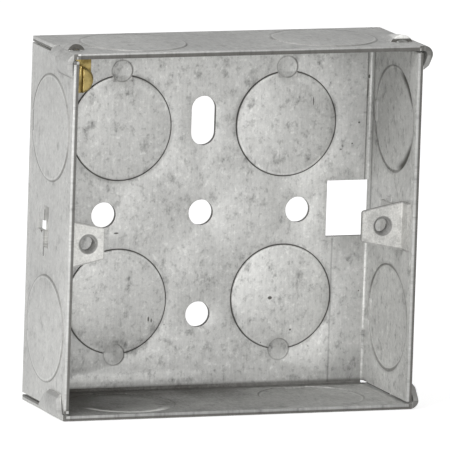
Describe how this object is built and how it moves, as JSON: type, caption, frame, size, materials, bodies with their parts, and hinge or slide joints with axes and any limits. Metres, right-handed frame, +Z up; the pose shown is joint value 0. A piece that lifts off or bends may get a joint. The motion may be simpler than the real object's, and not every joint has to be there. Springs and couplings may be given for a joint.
{
  "type": "metal back box",
  "caption": "Shallow square flush box folded from galvanised sheet, with part-sheared knockouts, threaded lugs for a faceplate and a brass earth terminal.",
  "frame": {"origin": "centre of the centre fixing hole, on the outer face of the base", "axes": "+X to the right, +Z up, the open front faces -Y and the base's outer face faces +Y"},
  "size_m": [0.0746, 0.025, 0.0727],
  "materials": {
    "galvanised_sheet": "dull hot-dip zinc with stains and fine scratches",
    "lug_steel": "zinc-plated",
    "terminal_brass": "dull brass"
  },
  "bodies": {
    "root": {"box_body": "galvanised_sheet", "lug_left": "lug_steel", "lug_right": "lug_steel", "earth_terminal": "terminal_brass", "terminal_screw": "terminal_brass"}
  },
  "joints": []
}
